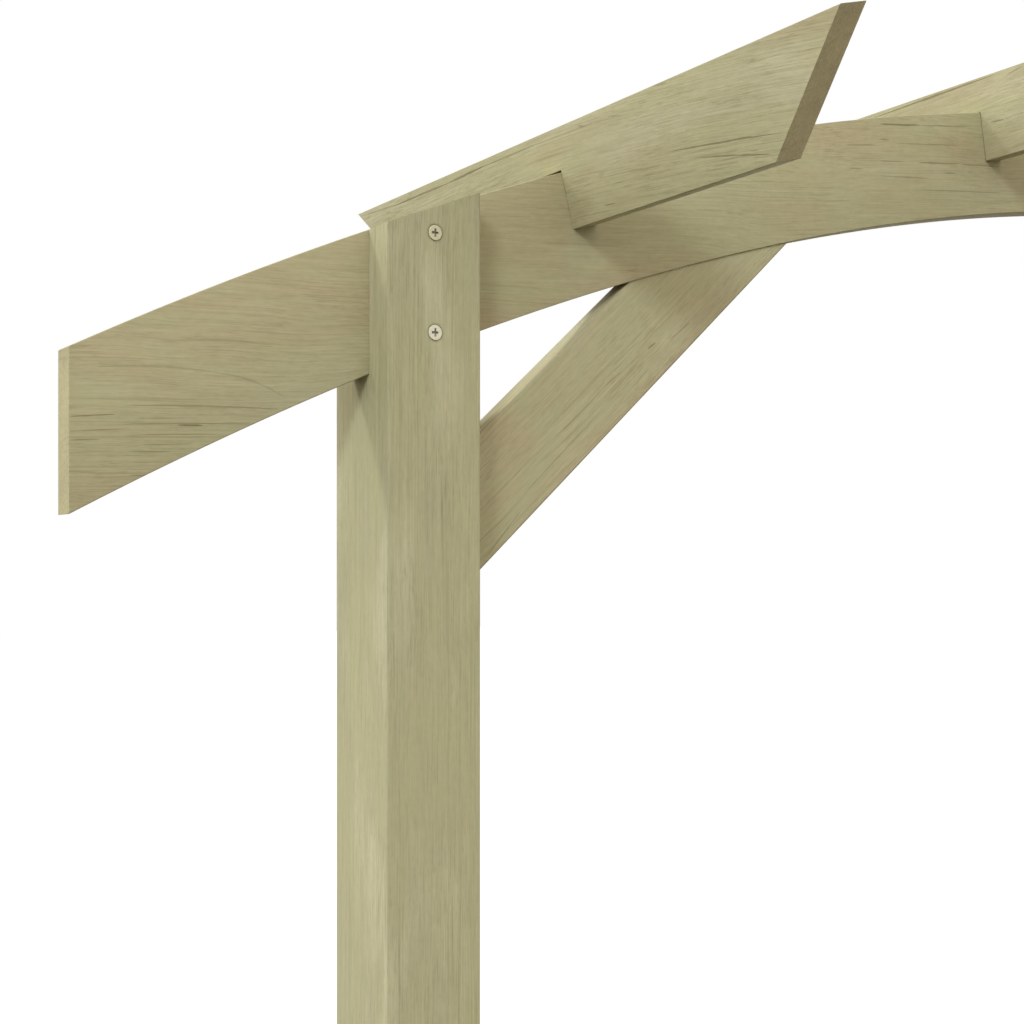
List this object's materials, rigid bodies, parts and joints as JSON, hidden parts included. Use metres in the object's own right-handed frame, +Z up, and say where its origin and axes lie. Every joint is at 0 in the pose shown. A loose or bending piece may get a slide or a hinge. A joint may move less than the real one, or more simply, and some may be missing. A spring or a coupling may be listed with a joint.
{
  "type": "pergola",
  "caption": "Garden pergola in a single row: square slotted posts, a low arched beam, notched slats that lean with the arch, and corner braces.",
  "frame": {"origin": "centre of the pergola on the ground, midway between the two posts and on the plane of the beam", "axes": "+X along the beam, from the left post to the right one as seen from the front; +Y from the front to the back; +Z up"},
  "size_m": [2.5, 0.54, 2.2],
  "materials": {
    "post_wood": "planed, pressure treated, matt",
    "beam_wood": "planed, pressure treated, matt",
    "slat_wood": "planed, pressure treated, matt",
    "brace_wood": "planed, pressure treated, matt",
    "screw_metal": "cream coated, satin"
  },
  "bodies": {
    "root": {"left_post": "post_wood", "right_post": "post_wood", "left_beam_half": "beam_wood", "right_beam_half": "beam_wood", "slat_outer_left": "slat_wood", "slat_inner_left": "slat_wood", "slat_crown": "slat_wood", "slat_inner_right": "slat_wood", "slat_outer_right": "slat_wood", "left_brace": "brace_wood", "right_brace": "brace_wood", "left_post_screws": "screw_metal", "right_post_screws": "screw_metal", "lap_screws": "screw_metal", "left_brace_screws": "screw_metal", "right_brace_screws": "screw_metal", "screw_outer_left": "screw_metal", "screw_inner_left": "screw_metal", "screw_crown": "screw_metal", "screw_inner_right": "screw_metal", "screw_outer_right": "screw_metal"}
  },
  "joints": []
}
